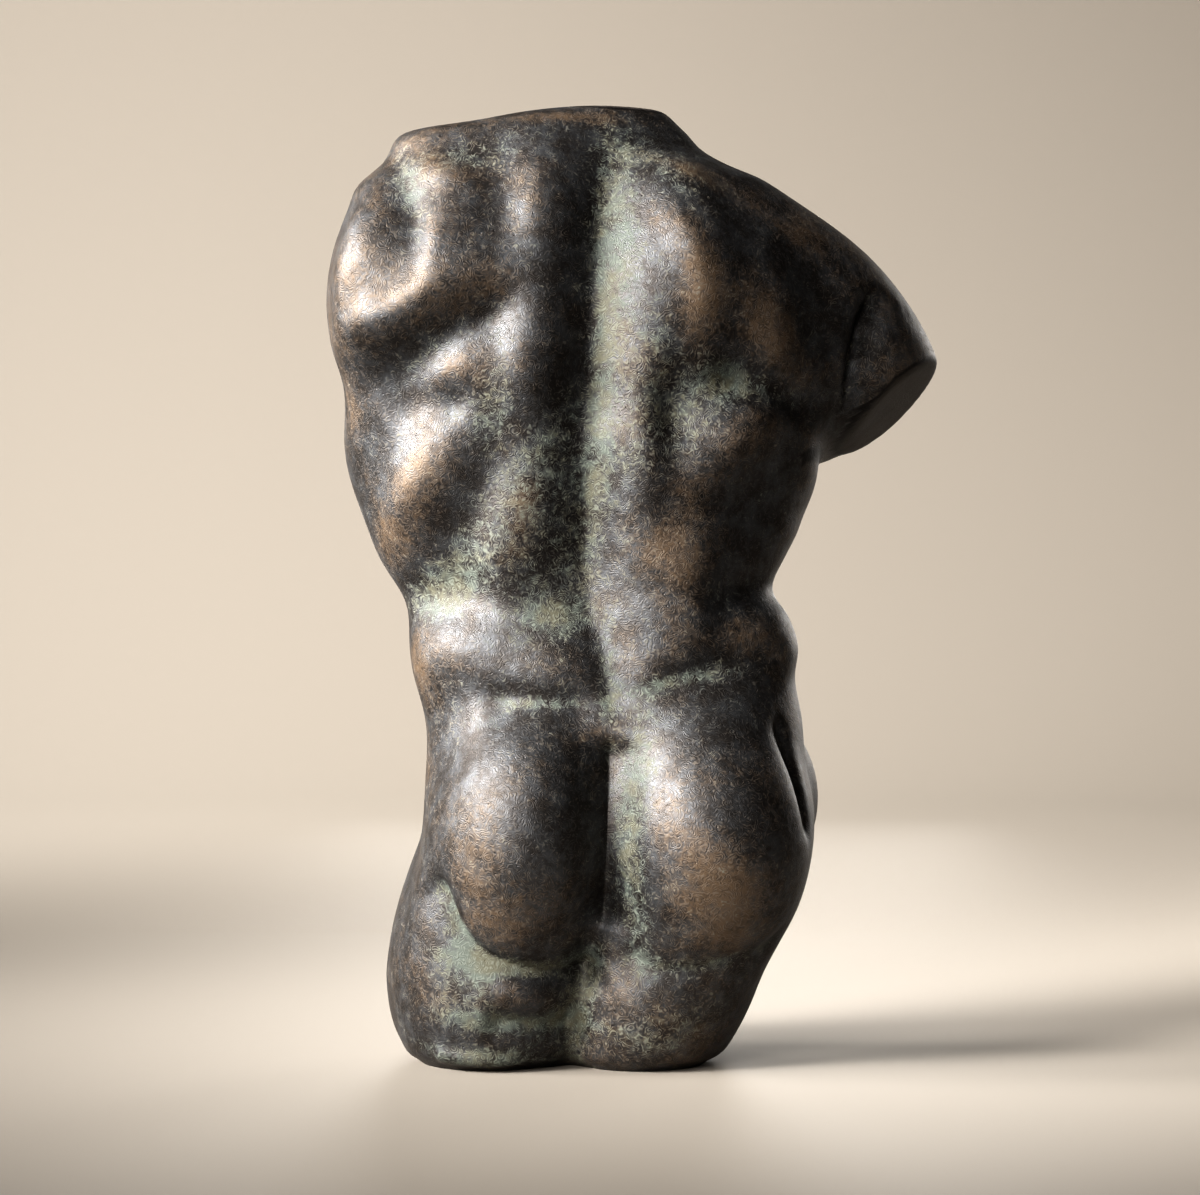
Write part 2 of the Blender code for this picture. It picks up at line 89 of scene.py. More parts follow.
# The core's four profiles: (height, reach). Left and right are as seen from behind.
LEFT_OUTLINE = [
    (-16, -74), (4, -93), (18, -107), (49, -113), (74, -110), (102, -104), (126, -97), (149, -88),
    (187, -86.5), (216, -87.5), (244, -91.5), (266, -95), (292, -100.5), (320, -116.5),
    (349, -126.5), (387, -135.5), (425, -138), (454, -146), (482, -149), (511, -145),
    (539, -135), (552, -130), (560, -121), (570, -112), (584, -108), (604, -104)]
RIGHT_OUTLINE = [
    (-16, 68), (4, 80), (18, 94), (49, 116), (92, 145), (121, 151), (159, 154), (187, 150),
    (216, 150), (244, 145), (263, 147), (282, 141), (299, 131), (320, 139.5), (334, 146),
    (349, 150), (377, 161), (414, 168), (454, 171), (494, 171), (520, 166), (539, 150),
    (558, 127), (568, 103), (577, 87), (587, 78), (596, 69), (607, 60)]
BACK_PROFILE = [
    (-16, -28), (4, -32), (34, -38), (79, -48), (134, -58), (184, -70), (219, -78), (244, -76),
    (268, -70), (304, -66), (364, -72), (434, -82), (494, -80), (544, -64), (584, -44),
    (604, -34), (644, -28)]
FRONT_PROFILE = [
    (-16, 60), (4, 66), (44, 72), (94, 72), (144, 66), (204, 62), (264, 62), (324, 70),
    (384, 80), (444, 88), (494, 84), (534, 66), (564, 46), (604, 34), (644, 28)]
# How far the chest is turned against the hips: depth per thousand sideways.
CHEST_TURN = [(-16, 0), (104, 0), (254, 10), (354, 60), (454, 160), (524, 170), (644, 140)]

# The line inside the figure that the rings are centred on.
AXIS_ACROSS = [(4, 5), (104, 20), (254, 22), (354, 12), (474, 20), (604, 20)]
AXIS_DEEP = [(4, 0), (254, 0), (404, 14), (474, 16), (604, 16)]

LEFT_SHOULDER = Mass((-91, -26, 490), (40, 58, 60), 4, 0)
LEFT_ARM = Mass((-104, 34, 500), (44, 62, 47), 0, 0)
RIGHT_ARM = Mass((171, 36, 458), (54, 50, 106), -42, 25)
LEFT_THIGH = Mass((-42, -6, 64), (68, 74, 96), 8, 0)
RIGHT_THIGH = Mass((64, -6, 64), (60, 76, 104), 22, 0)
LEFT_BUTTOCK = Mass((-26, -46, 149), (57, 68, 84), 6, 0)
RIGHT_BUTTOCK = Mass((88, -46, 145), (66, 70, 82), -2, 0)
RIGHT_HIP = Mass((112, 26, 165), (50, 42, 60), 0, 0)

LEFT_ARM_CUT = Cut((-108, 61, 510), (-0.30, 0.88, 0.36), 8)
RIGHT_ARM_CUT = Cut((205, 38, 412), (0.68, -0.265, -0.70), 2)
SHOULDER_CUT = Cut((-50, 0, 596), (-0.158, -0.05, 0.985), 10)
NECK_CUT = Cut((8, 0, NECK_HEIGHT), (0.05, 0, 1), 6)

BACK_MUSCLES = {
    "left shoulder blade": Muscle("back", -64, 514, 60, 27, 20, 9),
    "left blade spine": Muscle("back", -70, 556, 30, 16, -62, 6),
    "left blade belly": Muscle("back", -62, 487, 46, 21, 60, 9),
    "left deltoid": Muscle("back", -123, 502, 62, 24, 6, 13),
    "left deltoid foot": Muscle("back", -117, 463, 32, 21, 60, 8),
    "left teres": Muscle("back", -106, 466, 44, 22, 64, 7),
    "left trapezius": Muscle("back", -10, 538, 60, 32, 4, 9),
    "left upper erector": Muscle("back", -16, 437, 54, 30, 4, 9),
    "left rib strip": Muscle("back", -70, 432, 40, 24, 52, 6),
    "left serratus": Muscle("back", -80, 362, 50, 29, 36, 14),
    "left lumbar": Muscle("back", -27, 338, 62, 28, 14, 12),
    "left flank": Muscle("back", -62, 262, 52, 30, 84, 12),
    "left loin": Muscle("back", -12, 258, 36, 24, 92, 6),
    "left outer thigh": Muscle("back", -86, 95, 55, 25, -4, 5),
    "left inner thigh": Muscle("back", -23, 50, 33, 16, 92, 6),
    "right shoulder blade": Muscle("back", 110, 484, 75, 52, -40, 10),
    "right blade edge": Muscle("back", 69, 513, 30, 12, -14, 7),
    "right blade spine": Muscle("back", 139, 482, 46, 13, -56, 4),
    "right infraspinatus": Muscle("back", 126, 456, 31, 22, -40, 6),
    "right teres": Muscle("back", 156, 441, 31, 20, -35, 6),
    "right erector": Muscle("back", 46, 382, 85, 21, 2, 12),
    "right lat": Muscle("back", 96, 390, 60, 27, 52, 13),
    "right lumbar": Muscle("back", 64, 308, 62, 38, 8, 13),
    "right flank": Muscle("back", 118, 272, 46, 34, 84, 3)}
FRONT_MUSCLES = {
    "left chest": Muscle("front", -56, 460, 66, 42, -70, 15),
    "right chest": Muscle("front", 88, 456, 66, 42, 70, 15),
    "left upper belly": Muscle("front", -10, 354, 22, 22, 0, 5),
    "right upper belly": Muscle("front", 36, 354, 22, 22, 0, 5),
    "left middle belly": Muscle("front", -10, 310, 21, 23, 0, 6),
    "right middle belly": Muscle("front", 36, 310, 21, 23, 0, 6),
    "left lower belly": Muscle("front", -9, 266, 22, 23, 0, 5),
    "right lower belly": Muscle("front", 36, 266, 22, 23, 0, 5),
    "belly": Muscle("front", 14, 200, 50, 40, 0, 6),
    "left waist": Muscle("front", -66, 262, 46, 26, 12, 9),
    "right waist": Muscle("front", 98, 260, 44, 28, -12, 9),
    "groin": Muscle("front", 14, 126, 26, 30, 0, 7),
    "left thigh front": Muscle("front", -54, 66, 72, 42, 4, 8),
    "right thigh front": Muscle("front", 80, 66, 72, 38, 22, 8),
    "left ribs": Muscle("left", 20, 376, 50, 34, -20, 7),
    "right ribs": Muscle("right", 30, 376, 50, 34, -20, 7)}
HOLLOWS = {
    "shoulder notch": Hollow("back", -99, 540, 42, 13, -22, 6),
    "left valley": Hollow("back", -42, 546, 44, 24, -4, 4),
    "navel": Hollow("front", 14, 236, 14, 12, 0, 4),
    "neck pit": Hollow("front", 17, 560, 16, 14, 0, 5)}
# Routes are (across, height). A negative depth is a ridge.
BACK_CREASES = {
    "spine": Crease("back", [(31, 585), (22, 521), (15, 458), (10, 393), (12, 356), (17, 289),
                             (23, 269), (30, 230), (29, 206)], 6, 24, 15, 1.7, 0.08),
    "upper furrow": Crease("back", [(26, 566), (18, 489), (12, 424), (10, 387)],
                           6, 40, 24, 2.0, 0.2),
    "blade ledge": Crease("back", [(-22, 494), (-38, 479), (-68, 463), (-95, 442), (-124, 420)],
                          8, 22, 13, 2.0, 0.3),
    "left flank fold": Crease("back", [(-56, 228), (-38, 232), (-15, 231), (8, 231), (24, 236)],
                              5, 11, 20, 1.8, 0.25),
    "left waist": Crease("back", [(-98, 303), (-76, 298), (-52, 300), (-30, 307)],
                         3, 20, 18, 2.0, 0.25),
    "left buttock fold": Crease("back", [(-79, 130), (-73, 109), (-65, 89), (-50, 76), (-28, 68),
                                         (-7, 65), (9, 68), (23, 79)], 8, 7, 15, 1.2, 0.12),
    "left thigh crease": Crease("back", [(-52, 36), (-30, 33), (-7, 31), (7, 37)],
                                6, 7, 9, 1.4, 0.15),
    "base crust": Crease("back", [(-84, 12), (-62, 7), (-40, 4), (-22, 3)],
                         -3, 7, 7, 2.5, 0.2),
    "cleft": Crease("back", [(28, 214), (28, 181), (27, 147), (26, 117), (24, 89)],
                    9, 15, 9, 1.3, 0.12),
    "right buttock fold": Crease("back", [(33, 85), (53, 71), (73, 67), (99, 72), (126, 79),
                                          (140, 97)], 4, 9, 12, 1.5, 0.15),
    "right waist fold": Crease("back", [(42, 241), (76, 247), (110, 257), (142, 255)],
                               4, 12, 16, 1.8, 0.25),
    "right waist crease": Crease("back", [(130, 309), (103, 296), (82, 276)],
                                 1.5, 9, 12, 1.8, 0.3),
    "arm crease": Crease("back", [(202, 502), (199, 478), (192, 444), (186, 414), (174, 388),
                                   (168, 381)], 9, 7, 12, 1.3, 0.12),
    "hip crease": Crease("back", [(131, 226), (138, 203), (146, 180), (151, 158), (153, 140)],
                         5, 6, 8, 1.5, 0.2),
    "right valley": Crease("back", [(82, 444), (95, 437), (122, 425), (145, 417), (157, 400)],
                           7, 14, 14, 2.0, 0.3),
    "right ridge": Crease("back", [(52, 588), (68, 550), (75, 512), (73, 478), (66, 446), (60, 416)],
                          -10, 24, 42, 2.0, 0.35),
    "right hollow": Crease("back", [(62, 446), (62, 415), (64, 384)], 4, 18, 15, 2.0, 0.4),
    "rib valley": Crease("back", [(-112, 404), (-95, 414), (-72, 418), (-50, 413)],
                         5, 15, 13, 2.0, 0.3)}
FRONT_CREASES = {
    "breastbone": Crease("front", [(17, 549), (16, 504), (15, 454), (14, 409)],
                         4, 12, 12, 1.8, 0.15),
    "belly line": Crease("front", [(14, 389), (14, 334), (14, 294), (14, 249)],
                         4, 11, 11, 1.8, 0.2),
    "left chest edge": Crease("front", [(4, 422), (-20, 408), (-54, 404), (-90, 416),
                                        (-118, 444)], 5, 9, 14, 1.6, 0.15),
    "right chest edge": Crease("front", [(26, 422), (52, 406), (86, 401), (122, 412),
                                         (150, 440)], 5, 14, 9, 1.6, 0.15),
    "left rib arch": Crease("front", [(10, 388), (-26, 370), (-52, 334), (-62, 294)],
                            4, 15, 14, 1.8, 0.2),
    "right rib arch": Crease("front", [(18, 388), (54, 368), (80, 332), (92, 292)],
                             4, 14, 15, 1.8, 0.2),
    "left groin line": Crease("front", [(-86, 216), (-68, 190), (-36, 160), (-8, 140)],
                              6, 14, 15, 1.8, 0.3),
    "right groin line": Crease("front", [(120, 212), (102, 188), (66, 158), (36, 140)],
                               6, 15, 14, 1.8, 0.3),
    "left collarbone": Crease("front", [(0, 552), (-40, 560), (-86, 552)],
                              -4, 9, 7, 2.0, 0.25),
    "right collarbone": Crease("front", [(34, 550), (76, 546), (124, 520)],
                               -4, 7, 9, 2.0, 0.25),
    "between the thighs": Crease("front", [(13, 100), (10, 74), (4, 38), (1, 8)],
                                 6, 16, 17, 1.8, 0.3)}
# Two rib lines on each side: the height at the back end of each, climbing forwards.
RIB_LINES = (322, 356)
RIB_CLIMB = ((14, 0), (38, 10), (62, 26))
RIB_DEPTH = 3
RIB_WIDTH = 7
RIB_SHARPNESS = 1.8
RIB_FADE = 0.25

SIDEWAYS = {"back": (1, 0, 0), "front": (1, 0, 0), "left": (0, 1, 0), "right": (0, 1, 0)}
OUTWARDS = {"back": (0, -1, 0), "front": (0, 1, 0), "left": (-1, 0, 0), "right": (1, 0, 0)}


def curve_through(knots, at):
    """A smooth curve through the knots (millimetres), read at these places (metres)."""
    x, y = np.array(knots, float).T * MM
    slope = np.empty_like(y)
    slope[1:-1] = (y[2:] - y[:-2]) / (x[2:] - x[:-2])
    slope[0] = (y[1] - y[0]) / (x[1] - x[0])
    slope[-1] = (y[-1] - y[-2]) / (x[-1] - x[-2])
    left = np.clip(np.searchsorted(x, at) - 1, 0, len(x) - 2)
    step = x[left + 1] - x[left]
    t = np.clip((at - x[left]) / step, 0, 1)
    ease = t * t * (3 - 2 * t)
    level = y[left] + (y[left + 1] - y[left]) * ease
    rising = (t ** 3 - 2 * t ** 2 + t) * step * slope[left]
    falling = (t ** 3 - t ** 2) * step * slope[left + 1]
    return level + rising + falling


def smooth_min(one, other, blend):
    """The smaller of two distances, rounded over where they are about equal."""
    near = np.maximum(blend - np.abs(one - other), 0) / blend
    return np.minimum(one, other) - near * near * blend / 4


def smooth_max(one, other, blend):
    """The larger of two distances, rounded over where they are about equal."""
    return -smooth_min(-one, -other, blend)


def core_distance(p):
    """How far points are outside a loft whose sections are rounded boxes between the profiles."""
    z = p[..., 2]
    left, right = curve_through(LEFT_OUTLINE, z), curve_through(RIGHT_OUTLINE, z)
    back, front = curve_through(BACK_PROFILE, z), curve_through(FRONT_PROFILE, z)
    half_wide, half_deep = (right - left) / 2, (front - back) / 2
    across = p[..., 0] - (left + right) / 2
    deep = p[..., 1] - (back + front) / 2 - curve_through(CHEST_TURN, z) * across
    u, w = np.abs(across) / half_wide, np.abs(deep) / half_deep
    reach = (u ** SQUARENESS + w ** SQUARENESS) ** (1 / SQUARENESS) + 1e-9
    steepness = np.hypot(u ** (SQUARENESS - 1) / half_wide, w ** (SQUARENESS - 1) / half_deep)
    return (reach - 1) / (steepness * reach ** (1 - SQUARENESS) + 1e-3)


def mass_distance(p, mass):
    """How far points are outside an ellipsoid that is turned about Z and leans in its own XZ plane."""
    turn, lean = np.radians(mass.turn), np.radians(mass.lean)
    x, y, z = np.moveaxis(p - np.array(mass.centre) * MM, -1, 0)
    x, y = x * np.cos(turn) + y * np.sin(turn), y * np.cos(turn) - x * np.sin(turn)
    x, z = x * np.cos(lean) - z * np.sin(lean), x * np.sin(lean) + z * np.cos(lean)
    half = np.array(mass.half) * MM
    q = np.stack([x, y, z], -1) / half
    reach = np.linalg.norm(q, axis=-1) + 1e-9
    return reach * (reach - 1) / (np.linalg.norm(q / half, axis=-1) + 1e-6)


def cut_distance(p, cut):
    """How far points are in front of a cutting plane."""
    facing = np.array(cut.facing) / np.linalg.norm(cut.facing)
    return (p - np.array(cut.point) * MM) @ facing


def trimmed(distance, p, cut):
    """A distance with the part in front of a cutting plane taken off."""
    return smooth_max(distance, cut_distance(p, cut), cut.blend * MM)


def body_distance(p):
    """How far points are outside the smooth figure, before its muscles and folds."""
    left_arm = trimmed(mass_distance(p, LEFT_ARM), p, LEFT_ARM_CUT)
    right_arm = trimmed(mass_distance(p, RIGHT_ARM), p, RIGHT_ARM_CUT)
    thighs = smooth_min(mass_distance(p, LEFT_THIGH), mass_distance(p, RIGHT_THIGH), THIGHS_BLEND * MM)
    seat = smooth_min(mass_distance(p, LEFT_BUTTOCK), mass_distance(p, RIGHT_BUTTOCK), SEAT_BLEND * MM)
    figure = smooth_min(core_distance(p), left_arm, LEFT_ARM_BLEND * MM)
    figure = smooth_min(figure, right_arm, RIGHT_ARM_BLEND * MM)
    figure = smooth_min(figure, mass_distance(p, LEFT_SHOULDER), SHOULDER_BLEND * MM)
    figure = smooth_min(figure, thighs, THIGH_TOP_BLEND * MM)
    figure = smooth_min(figure, seat, LOIN_BLEND * MM)
    figure = smooth_min(figure, mass_distance(p, RIGHT_HIP), HIP_BLEND * MM)
    figure = trimmed(figure, p, SHOULDER_CUT)
    figure = trimmed(figure, p, NECK_CUT)
    rounding = BASE_ROUND * MM
    low = np.clip(rounding - p[..., 2], 0, rounding)
    return figure + rounding - np.sqrt(rounding ** 2 - low ** 2)


def bisect(start, direction, inner, outer):
    """Where each ray crosses the skin, between a length inside it and a length outside it."""
    for _ in range(HALVINGS):
        middle = (inner + outer) / 2
        inside = body_distance(start + direction * middle[..., None]) < 0
        inner = np.where(inside, middle, inner)
        outer = np.where(inside, outer, middle)
    return start + direction * ((inner + outer) / 2)[..., None]


def cast_out(start, direction):
    """The last crossing of the skin by rays that start inside the figure."""
    lengths = np.linspace(0, RAY_REACH, RAY_STEPS)
    inside = np.stack([body_distance(start + direction * length) < 0 for length in lengths])
    last = len(lengths) - 1 - np.argmax(inside[::-1], axis=0)
    following = np.minimum(last + 1, len(lengths) - 1)
    return bisect(start, direction, lengths[last], lengths[following])


def touch(side, across, height):
    """The points of the skin seen at these places (millimetres) from one side."""
    outward = np.array(OUTWARDS[side], float)
    across, height = np.atleast_1d(across) * MM, np.atleast_1d(height) * MM
    start = outward * VIEW_REACH + across[:, None] * np.array(SIDEWAYS[side], float)
    start = start + height[:, None] * np.array([0, 0, 1.0])
    inward = np.broadcast_to(-outward, start.shape)
    lengths = np.linspace(0, VIEW_REACH, RAY_STEPS)
    inside = np.stack([body_distance(start + inward * length) < 0 for length in lengths])
    first = np.argmax(inside, axis=0)
    return bisect(start, inward, lengths[first], lengths[np.maximum(first - 1, 0)])


def skin_facing(p, spread):
    """The outward direction of the skin, taken over this distance each way."""
    slopes = [body_distance(p + spread * axis) - body_distance(p - spread * axis) for axis in np.eye(3)]
    facing = np.stack(slopes, -1)
    return facing / np.linalg.norm(facing, axis=-1, keepdims=True)


def local_reach(p, spot):
    """Squared distance from a spot on the skin, in half lengths along it and half widths across it."""
    centre = touch(spot.side, spot.across, spot.height)[0]
    outward = skin_facing(centre, MM)
    upward = np.array([0, 0, 1.0]) - outward * outward[2]
    upward = upward / np.linalg.norm(upward)
    sideways = np.cross(upward, outward)
    sideways = sideways * np.sign(sideways @ np.array(SIDEWAYS[spot.side], float))
    lean = np.radians(spot.lean)
    along = upward * np.cos(lean) + sideways * np.sin(lean)
    aside = sideways * np.cos(lean) - upward * np.sin(lean)
    through = THROUGH_SHARE * max(spot.half_long, spot.half_wide)
    q = (p - centre) / MM
    lengths = np.stack([q @ along / spot.half_long, q @ aside / spot.half_wide, q @ outward / through])
    return (lengths ** 2).sum(axis=0)


def crease_route(crease):
    """The crease's smooth route on the skin, in short steps from knot to knot."""
    route = np.array(crease.route, float)
    knot = np.arange(len(route)) / MM
    at = np.linspace(0, len(route) - 1, ROUTE_STEPS * (len(route) - 1) + 1)
    across = curve_through(np.stack([knot, route[:, 0]], -1), at) / MM
    height = curve_through(np.stack([knot, route[:, 1]], -1), at) / MM
    return touch(crease.side, across, height)


def crease_depth(p, facing, crease):
    """How deep a crease is under each point: a bell curve of the distance to its route.

    Its two banks have their own widths, left and right of someone walking the route, and it
    fades out over the given share of its length at each end.
    """
    route = crease_route(crease)
    margin = ROUTE_MARGIN * max(crease.left, crease.right) * MM
    near = ((p > route.min(axis=0) - margin) & (p < route.max(axis=0) + margin)).all(axis=-1)
    depth = np.zeros(p.shape[:-1])
    depth[near] = route_depth(p[near], facing[near], route, crease)
    return depth


def route_depth(p, facing, route, crease):
    """The bell curve itself, for the points that are near enough to matter."""
    steps = np.diff(route, axis=0)
    run = np.concatenate([[0], np.cumsum(np.linalg.norm(steps, axis=-1))])
    nearest = np.full(p.shape[:-1], FAR)
    along, hand = np.zeros(nearest.shape), np.zeros(nearest.shape)
    for start, step, begun in zip(route, steps, run):
        share = np.clip((p - start) @ step / (step @ step), 0, 1)
        offset = p - start - share[..., None] * step
        distance = np.linalg.norm(offset, axis=-1)
        length = np.linalg.norm(step)
        closer = distance < nearest
        nearest = np.where(closer, distance, nearest)
        along = np.where(closer, begun + share * length, along)
        hand = np.where(closer, (np.cross(step, offset) * facing).sum(-1) / length, hand)
    leftness = np.clip(hand / (nearest + 1e-6), -1, 1) / 2 + 0.5
    width = (crease.right + (crease.left - crease.right) * leftness) * MM
    end = np.clip(np.minimum(along, run[-1] - along) / (crease.fade * run[-1]), 0, 1)
    return crease.depth * MM * np.exp(-(nearest / width) ** crease.sharp) * end * end * (3 - 2 * end)


def rib_creases():
    """The rib lines on both sides, as creases."""
    routes = [[(forward, base + climb) for forward, climb in RIB_CLIMB] for base in RIB_LINES]
    return [Crease(side, route, RIB_DEPTH, RIB_WIDTH, RIB_WIDTH, RIB_SHARPNESS, RIB_FADE)
            for side in ("left", "right") for route in routes]


def flatness(p):
    """0 on the cut faces, rising to 1 a short way off them, so that the cuts stay flat."""
    keep = np.ones(p.shape[:-1])
    for cut in (LEFT_ARM_CUT, RIGHT_ARM_CUT, NECK_CUT):
        off = np.abs(cut_distance(p, cut)) / (CUT_EDGE * MM)
        away = np.linalg.norm(p - np.array(cut.point) * MM, axis=-1) / (CUT_REACH * MM) * 2 - 2
        share = np.clip(np.maximum(off, away), 0, 1)
        keep = keep * share * share * (3 - 2 * share)
    return keep


def relief(p, facing):
    """How far the muscles, hollows and creases raise the skin at each point."""
    swelling = np.zeros(p.shape[:-1])
    for muscle in [*BACK_MUSCLES.values(), *FRONT_MUSCLES.values()]:
        bulge = muscle.rise * np.exp(-FALL * local_reach(p, muscle))
        swelling = swelling + bulge ** JOINING
    height = swelling ** (1 / JOINING) * MM
    for hollow in HOLLOWS.values():
        height = height - hollow.depth * MM * np.exp(-FALL * local_reach(p, hollow))
    for crease in [*BACK_CREASES.values(), *FRONT_CREASES.values(), *rib_creases()]:
        height = height - crease_depth(p, facing, crease)
    return height * flatness(p)


def blurred(field, times):
    """A field on the grid, averaged with its neighbours this many times; columns wrap round."""
    for _ in range(times):
        rows = np.concatenate([field[:1], field, field[-1:]])
        field = (rows[:-2] + 2 * rows[1:-1] + rows[2:]) / 4
        field = (np.roll(field, 1, axis=1) + 2 * field + np.roll(field, -1, axis=1)) / 4
    return field


def skin_grid(rows, columns):
    """Points of the skin, in level rows up to FAN_HEIGHT and then fanning in to the top.

    From a line inside the figure each ray runs out to the skin, and the relief moves its end
    along the ray.
    """
    v = np.linspace(0, 1, rows)
    height = np.clip(v / UPRIGHT_SHARE, 0, 1) * FAN_HEIGHT * MM
    lift = np.clip((v - UPRIGHT_SHARE) / (1 - UPRIGHT_SHARE), 0, 1) * np.pi / 2
    angle = np.arange(columns) / columns * 2 * np.pi
    angle = angle - CROWDING * np.sin(angle)
    axis = np.stack([curve_through(AXIS_ACROSS, height), curve_through(AXIS_DEEP, height), height], -1)
    start = np.repeat(axis[:, None, :], columns, axis=1)
    level, rise = np.cos(lift)[:, None], np.sin(lift)[:, None]
    direction = np.stack([np.sin(angle) * level, -np.cos(angle) * level, rise + 0 * angle], -1)
    p = blurred(cast_out(start, direction), SOFTENING)
    p[-1] = p[-1].mean(axis=0)
    facing = skin_facing(p, SKIN_SPREAD * MM)
    slant = np.clip((facing * direction).sum(-1), LEAST_SLANT, 1)
    p = p + direction * (relief(p, facing) / slant)[..., None]
    p[0, :, 2] = 0
    p[..., 2] = np.maximum(p[..., 2], 0)
    return p


def grid_facing(p):
    """Outward unit normals of the grid, from differences along its rows and columns."""
    along = np.roll(p, -1, axis=1) - np.roll(p, 1, axis=1)
    up = np.gradient(p, axis=0)
    facing = np.cross(along, up)
    return facing / (np.linalg.norm(facing, axis=-1, keepdims=True) + 1e-12)


def hollowness(p, facing, times, depth):
    """How far the skin lies under its own blurred copy, as a share of depth: hollows above 0."""
    return np.clip(((blurred(p, times) - p) * facing).sum(-1) / (depth * MM), -1, 1)


def cut_mark(p, facing):
    """1 on the broken faces of the arms and the neck, 0 from a few millimetres off them."""
    mark = np.zeros(p.shape[:-1])
    for cut in (LEFT_ARM_CUT, RIGHT_ARM_CUT, NECK_CUT):
        off = np.abs(cut_distance(p, cut)) / (CUT_SKIN * MM)
        away = np.linalg.norm(p - np.array(cut.point) * MM, axis=-1) / (CUT_REACH * MM)
        level = facing @ np.array(cut.facing) / np.linalg.norm(cut.facing)
        flat = np.clip((level - CUT_FACING[0]) / (CUT_FACING[1] - CUT_FACING[0]), 0, 1)
        mark = np.maximum(mark, np.clip(2 - off, 0, 1) * flat * (away < CUT_SPAN))
    return mark


def patch_sum(p, patches):
    """Soft stains added up: each falls off as a flat-topped bell curve of its local reach."""
    total = np.zeros(p.shape[:-1])
    for patch in patches:
        total = total + patch.amount * np.exp(-FALL * local_reach(p, patch) ** PATCH_FLATNESS)
    return total


def make_skin(name, p, marks):
    """A closed mesh of the grid: its last row is the top pole, and a fan closes the underside."""
    rows, columns = p.shape[:2]
    top, base = p[-1, 0], p[0].mean(axis=0)
    points = np.concatenate([p[:-1].reshape(-1, 3), [top], [base]])
    ring = np.arange(columns)
    after = (ring + 1) % columns
    row = np.arange(rows - 2)[:, None] * columns
    quads = np.stack([row + ring, row + after, row + columns + after, row + columns + ring], -1)
    last = (rows - 2) * columns
    top_index, base_index = len(points) - 2, len(points) - 1
    crown = np.stack([last + ring, last + after, np.full(columns, top_index)], -1)
    sole = np.stack([after, ring, np.full(columns, base_index)], -1)
    faces = quads.reshape(-1, 4).tolist() + crown.tolist() + sole.tolist()
    mesh = bpy.data.meshes.new(name)
    mesh.from_pydata(points.tolist(), [], faces)
    mesh.shade_smooth()
    mesh.set_sharp_from_angle(angle=np.radians(SHARP_ANGLE))
    for mark, field in marks.items():
        values = np.concatenate([field[:-1].ravel(), [field[-1, 0]], [0]]).astype(np.float32)
        layer = mesh.attributes.new(mark, "FLOAT", "POINT")
        layer.data.foreach_set("value", values)
    piece = bpy.data.objects.new(name, mesh)
    bpy.context.scene.collection.objects.link(piece)
    return piece


class Signal:
    """A number that varies over a surface; Python's operators on it add Math nodes."""

    def __init__(self, paint, socket):
        self.paint = paint
        self.socket = socket

    def __add__(self, other):
        return self.paint.math("ADD", self, other)

    def __sub__(self, other):
        return self.paint.math("SUBTRACT", self, other)

    def __rsub__(self, other):
        return self.paint.math("SUBTRACT", other, self)

    def __mul__(self, other):
        return self.paint.math("MULTIPLY", self, other)

    __radd__ = __add__
    __rmul__ = __mul__


class Paint:
    """A material's node tree, with one method that adds any node."""

    def __init__(self, name):
        self.material = bpy.data.materials.new(name)
        self.material.use_nodes = True
        self.tree = self.material.node_tree
        self.shader = self.tree.nodes["Principled BSDF"]
        self.place = self.node("ShaderNodeTexCoord", {}, {}).outputs["Object"]

    def feed(self, target, value):
        """Link a signal or socket to a node's input, or set its plain value."""
        if isinstance(value, Signal):
            value = value.socket
        if isinstance(value, bpy.types.NodeSocket):
            self.tree.links.new(value, target)
        else:
            target.default_value = value

    def node(self, kind, settings, inputs):
        """Add a node, apply its settings, then feed its inputs by name or number."""
        made = self.tree.nodes.new(kind)
        for key, value in settings.items():
            setattr(made, key, value)
        for key, value in inputs.items():
            self.feed(made.inputs[key], value)
        return made

    def math(self, operation, *values):
        """One Math node on these values."""
        made = self.node("ShaderNodeMath", {"operation": operation}, dict(enumerate(values)))
        return Signal(self, made.outputs[0])

    def attribute(self, name):
        """A number kept on the mesh's points."""
        made = self.node("ShaderNodeAttribute", {"attribute_name": name}, {})
        return Signal(self, made.outputs["Fac"])

    def noise(self, size, detail=2.0, roughness=0.5):
        """Soft noise about 0.5, whose lumps are about this many millimetres across."""
        inputs = {"Vector": self.place, "Scale": 1 / (size * MM), "Detail": detail,
                  "Roughness": roughness}
        return Signal(self, self.node("ShaderNodeTexNoise", {}, inputs).outputs[0])

    def cells(self, size):
        """The distance to the nearest of scattered points, in cells of this size."""
        inputs = {"Vector": self.place, "Scale": 1 / (size * MM)}
        return Signal(self, self.node("ShaderNodeTexVoronoi", {}, inputs).outputs["Distance"])

    def rise(self, value, low, high):
        """0 up to low, 1 from high on, and a smooth step between."""
        settings = {"interpolation_type": "SMOOTHSTEP"}
        inputs = {"Value": value, "From Min": low, "From Max": high}
        return Signal(self, self.node("ShaderNodeMapRange", settings, inputs).outputs[0])

    def mix(self, share, one, other):
        """One colour turning into the other."""
        inputs = {0: share, 6: one, 7: other}
        return self.node("ShaderNodeMix", {"data_type": "RGBA"}, inputs).outputs[2]


# The patina's grain: how many millimetres across each kind of spot, lump or stroke is.
CURL_SIZE = 7
STROKE_LENGTH = 2.6
GRAIN_SIZE = 0.9
MOTTLE_SIZE = 5
CLOUD_SIZE = 16
DRIFT_SIZE = 60
DENT_SIZE = 15
OLIVE_SIZE = 18
PIT_SPACING = 5
# How closely the curls lie, and how deep the brush marks are.
CURL_TURNS = 62
BRUSH_RELIEF = 0.10

